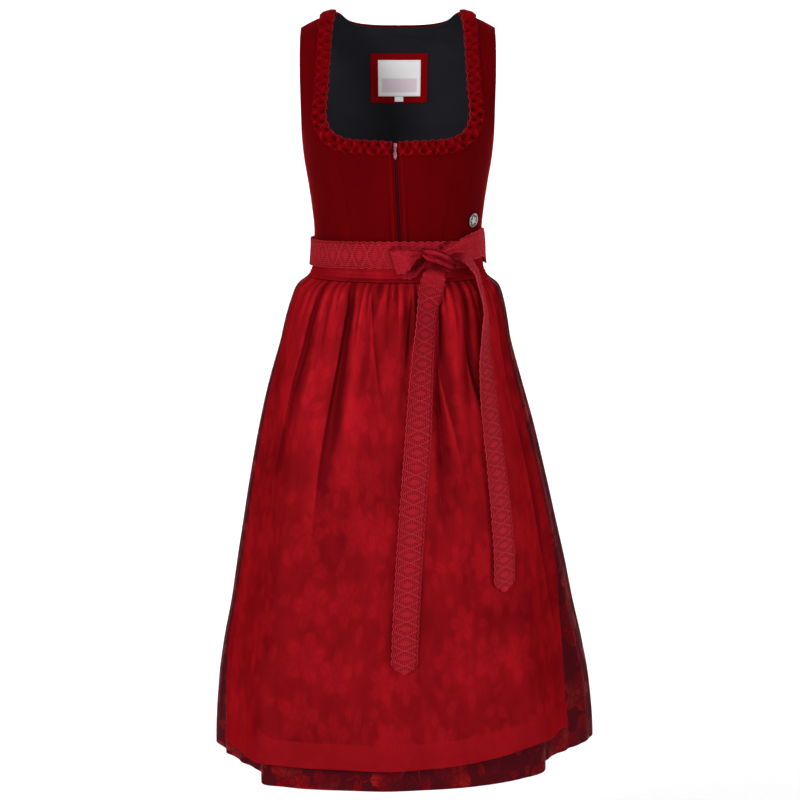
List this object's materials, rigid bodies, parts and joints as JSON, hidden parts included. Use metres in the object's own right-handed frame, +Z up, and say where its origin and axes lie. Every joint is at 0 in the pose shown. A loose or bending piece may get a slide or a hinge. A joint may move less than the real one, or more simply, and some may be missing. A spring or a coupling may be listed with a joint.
{
  "type": "dirndl",
  "caption": "A worn, hollow dirndl: sleeveless velvet bodice with a ruffled neckline and front zip, full brocade skirt, and a gathered satin apron tied with a ribbon bow.",
  "frame": {"origin": "midway between the two shoulder tops, where the wearer's shoulders carry the dress", "axes": "+Z up, the front of the dress faces -Y, +X is the wearer's left"},
  "size_m": [0.5874, 0.4252, 1.1071],
  "materials": {
    "velvet": "dark red cotton velvet with a short nap",
    "lining": "plain near-black cotton lining",
    "label": "white woven satin label, left bare",
    "tape": "dark red woven zip tape",
    "lacquer": "dusky red lacquered zip metal",
    "pewter": "cast pewter-coloured metal with darkened recesses",
    "brocade": "deep red brocade with a brighter red floral figure",
    "satin": "slightly sheer crimson satin organza",
    "jacquard": "matte crimson jacquard ribbon with a lens pattern and picot edges"
  },
  "bodies": {
    "dress": {"bodice_front_left": "velvet", "bodice_front_right": "velvet", "bodice_side_left": "velvet", "bodice_side_right": "velvet", "bodice_back": "velvet", "lining_back": "lining", "label_patch": "velvet", "label": "label", "size_tab": "label", "trim_left": "velvet", "trim_right": "velvet", "zip_tape": "tape", "zip_slider": "lacquer", "badge": "pewter", "skirt_front": "brocade", "skirt_back": "brocade", "apron": "satin", "apron_band": "satin", "sash_front": "jacquard", "sash_back": "jacquard", "sash_right": "jacquard", "bow_knot": "jacquard", "bow_loop": "jacquard", "bow_band": "jacquard", "tail_left": "jacquard", "tail_right": "jacquard"},
    "pull": {"zip_pull": "lacquer"}
  },
  "joints": [
    {"name": "pull_hinge", "type": "hinge", "parent": "dress", "child": "pull", "pos_m": [-0.0037, -0.12181, -0.19735], "axis": [-1, 0, 0], "range_deg": [0, 150]}
  ]
}
